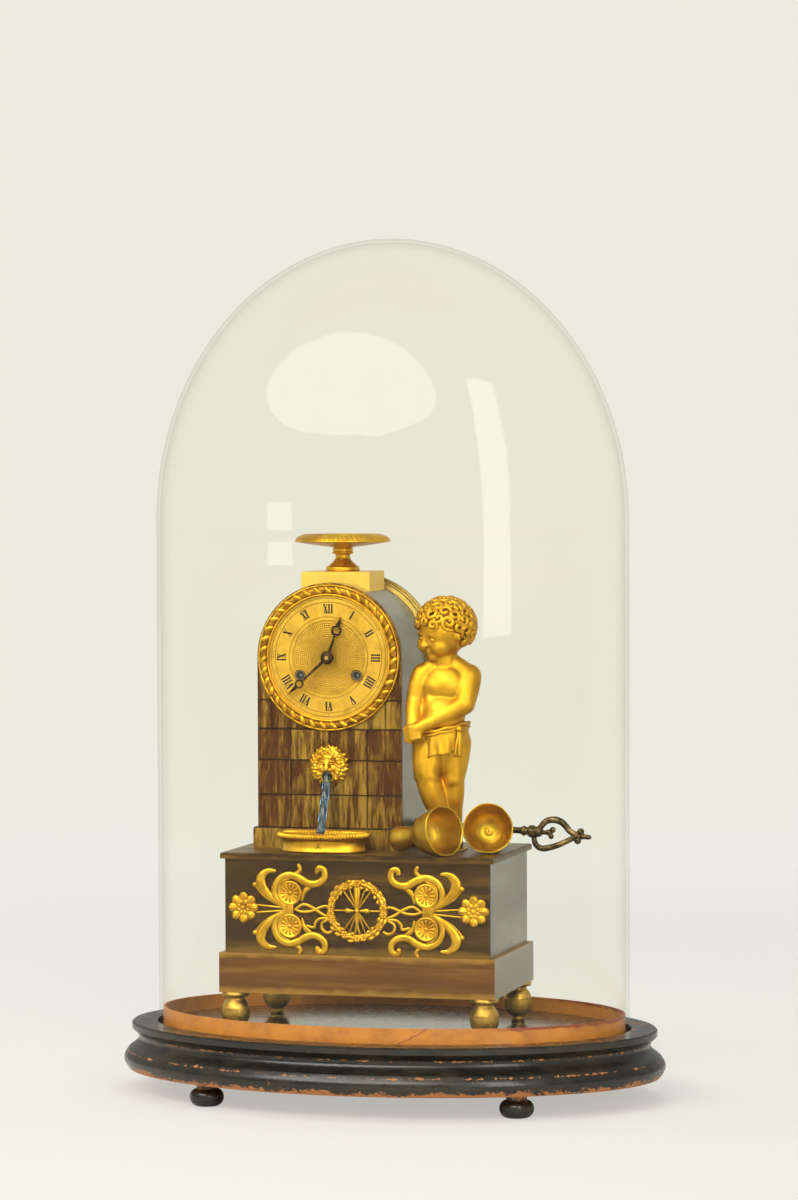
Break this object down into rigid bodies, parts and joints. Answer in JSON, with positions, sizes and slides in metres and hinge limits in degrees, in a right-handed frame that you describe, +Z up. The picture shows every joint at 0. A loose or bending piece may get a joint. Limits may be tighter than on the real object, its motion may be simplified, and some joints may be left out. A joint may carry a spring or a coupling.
{
  "type": "mantel clock under a glass dome",
  "caption": "Gilt fountain clock with an arched case, a child's figure, loose goblets and a turning glass rod, on an oval stand under a glass dome.",
  "frame": {"origin": "middle of the stand's underside, on the surface it stands on", "axes": "+Z up, the dial faces -Y, +X to the right as seen from the front"},
  "size_m": [0.364, 0.241, 0.5623],
  "materials": {
    "ebonised_wood": "worn satin",
    "black_board": "polished",
    "orange_paper": "aged",
    "dome_glass": "clear blown glass",
    "rod_glass": "twisted glass",
    "bright_gilt": "fire gilt, satin",
    "dial_gilt": "matt gilt, engine turned",
    "brown_gilt": "worn and toned gilt",
    "olive_gilt": "dark patina, brushed",
    "grey_sheet": "tarnished, reflective",
    "movement_brass": "lacquered",
    "movement_steel": "polished",
    "blued_steel": "blued",
    "key_bronze": "dark bronze",
    "bell_metal": "silvered bronze"
  },
  "bodies": {
    "stand_and_case": {"stand_base": "ebonised_wood", "stand_feet": "ebonised_wood", "platform_board": "black_board", "edge_strip": "orange_paper", "clock_feet": "bright_gilt", "fixing_nuts": "movement_steel", "bottom_plate": "grey_sheet", "plinth_frame": "brown_gilt", "front_panel": "olive_gilt", "case_shell": "grey_sheet", "top_slab": "grey_sheet", "wreath_mount": "bright_gilt", "left_scroll_mount": "bright_gilt", "right_scroll_mount": "bright_gilt", "tower_front": "brown_gilt", "tower_wrap": "grey_sheet", "tower_skirting": "brown_gilt", "tower_back": "grey_sheet", "case_bolts": "movement_steel", "rear_ring": "brown_gilt", "finial_block": "bright_gilt", "tazza": "bright_gilt", "bezel": "bright_gilt", "dial_plate": "dial_gilt", "case_straps": "movement_brass", "lion_mask": "bright_gilt", "basin": "bright_gilt", "basin_grid": "olive_gilt", "fountain_frame": "movement_brass", "front_movement_plate": "movement_brass", "back_movement_plate": "movement_brass", "suspension_cock": "movement_brass", "bell": "bell_metal", "putto_figure": "bright_gilt"},
    "dome": {"glass_dome": "dome_glass"},
    "minute_train": {"centre_wheel": "movement_brass", "minute_hand": "blued_steel", "hand_collet": "blued_steel"},
    "hour_train": {"hour_wheel": "movement_brass", "hour_hand": "blued_steel"},
    "minute_wheel_body": {"minute_wheel": "movement_brass"},
    "intermediate": {"intermediate_wheel": "movement_brass"},
    "going_drum": {"going_barrel": "movement_brass"},
    "third": {"third_wheel": "movement_brass"},
    "escape": {"escape_wheel": "movement_brass"},
    "pendulum_body": {"pendulum": "movement_brass", "pallet_anchor": "movement_steel"},
    "going_winder": {"going_arbor": "movement_steel"},
    "strike_drum": {"strike_barrel": "movement_brass"},
    "strike_winder": {"strike_arbor": "movement_steel"},
    "fountain_drum": {"fountain_barrel": "movement_brass"},
    "spindle": {"rod_spindle": "movement_steel"},
    "water_rod": {"glass_rod": "rod_glass", "rod_cup": "bright_gilt"},
    "hammer": {"strike_hammer": "movement_steel"},
    "cover": {"back_cover": "brown_gilt", "cover_knob": "bright_gilt"},
    "left_goblet": {"goblet_left": "bright_gilt"},
    "right_goblet": {"goblet_right": "bright_gilt"},
    "key": {"winding_key": "key_bronze"}
  },
  "joints": [
    {"name": "dome_lift", "type": "slide", "parent": "stand_and_case", "child": "dome", "axis": [0, 0, 1], "range_m": [0, 0.335]},
    {"name": "time_turn", "type": "hinge", "parent": "stand_and_case", "child": "minute_train", "pos_m": [-0.0354, -0.0045, 0.2882], "axis": [0, 1, 0], "continuous": true},
    {"name": "hour_turn", "type": "hinge", "parent": "stand_and_case", "child": "hour_train", "pos_m": [-0.0354, -0.0045, 0.2882], "axis": [0, 1, 0], "continuous": true},
    {"name": "minute_wheel_turn", "type": "hinge", "parent": "stand_and_case", "child": "minute_wheel_body", "pos_m": [-0.0354, -0.0045, 0.277], "axis": [0, 1, 0], "continuous": true},
    {"name": "intermediate_turn", "type": "hinge", "parent": "stand_and_case", "child": "intermediate", "pos_m": [-0.02146, -0.0045, 0.29605], "axis": [0, 1, 0], "continuous": true},
    {"name": "going_barrel_turn", "type": "hinge", "parent": "stand_and_case", "child": "going_drum", "pos_m": [-0.0162, -0.0045, 0.2765], "axis": [0, 1, 0], "continuous": true},
    {"name": "third_turn", "type": "hinge", "parent": "stand_and_case", "child": "third", "pos_m": [-0.04033, -0.0045, 0.30173], "axis": [0, 1, 0], "continuous": true},
    {"name": "escape_turn", "type": "hinge", "parent": "stand_and_case", "child": "escape", "pos_m": [-0.0354, -0.0045, 0.31256], "axis": [0, 1, 0], "continuous": true},
    {"name": "pendulum_swing", "type": "hinge", "parent": "stand_and_case", "child": "pendulum_body", "pos_m": [-0.0354, 0.0275, 0.32556], "axis": [0, 1, 0], "range_deg": [-3, 3]},
    {"name": "going_wind", "type": "hinge", "parent": "stand_and_case", "child": "going_winder", "pos_m": [-0.0162, -0.0045, 0.2765], "axis": [0, 1, 0], "continuous": true},
    {"name": "strike_barrel_turn", "type": "hinge", "parent": "stand_and_case", "child": "strike_drum", "pos_m": [-0.0546, -0.0045, 0.2765], "axis": [0, 1, 0], "continuous": true},
    {"name": "strike_wind", "type": "hinge", "parent": "stand_and_case", "child": "strike_winder", "pos_m": [-0.0546, -0.0045, 0.2765], "axis": [0, 1, 0], "continuous": true},
    {"name": "fountain_turn", "type": "hinge", "parent": "stand_and_case", "child": "fountain_drum", "pos_m": [-0.01979, -0.0045, 0.196], "axis": [0, 1, 0], "continuous": true},
    {"name": "spindle_turn", "type": "hinge", "parent": "stand_and_case", "child": "spindle", "pos_m": [-0.0354, -0.0045, 0.2115], "axis": [0, 1, 0], "continuous": true},
    {"name": "rod_turn", "type": "hinge", "parent": "stand_and_case", "child": "water_rod", "pos_m": [-0.0354, -0.03, 0.2115], "axis": [0, 0.3972, 0.9177], "continuous": true},
    {"name": "hammer_strike", "type": "hinge", "parent": "stand_and_case", "child": "hammer", "pos_m": [-0.06515, 0.0255, 0.3001], "axis": [0, 1, 0], "range_deg": [0, 14]},
    {"name": "cover_pull", "type": "slide", "parent": "stand_and_case", "child": "cover", "axis": [0, 1, 0], "range_m": [0, 0.02]},
    {"name": "goblet_left_lift", "type": "slide", "parent": "stand_and_case", "child": "left_goblet", "axis": [0, 0, 1], "range_m": [0, 0.04]},
    {"name": "goblet_right_lift", "type": "slide", "parent": "stand_and_case", "child": "right_goblet", "axis": [0, 0, 1], "range_m": [0, 0.06]},
    {"name": "key_pull", "type": "slide", "parent": "stand_and_case", "child": "key", "axis": [0.9986, 0, -0.0523], "range_m": [0, 0.014]}
  ],
  "couplings": [
    {"joint": "hour_turn", "follows": "time_turn", "ratio": 0.083333},
    {"joint": "minute_wheel_turn", "follows": "time_turn", "ratio": -0.33333},
    {"joint": "intermediate_turn", "follows": "time_turn", "ratio": -0.14286},
    {"joint": "going_barrel_turn", "follows": "time_turn", "ratio": 0.017857},
    {"joint": "third_turn", "follows": "time_turn", "ratio": -8},
    {"joint": "escape_turn", "follows": "time_turn", "ratio": 60},
    {"joint": "spindle_turn", "follows": "fountain_turn", "ratio": -4.5},
    {"joint": "rod_turn", "follows": "fountain_turn", "ratio": -4.5}
  ]
}
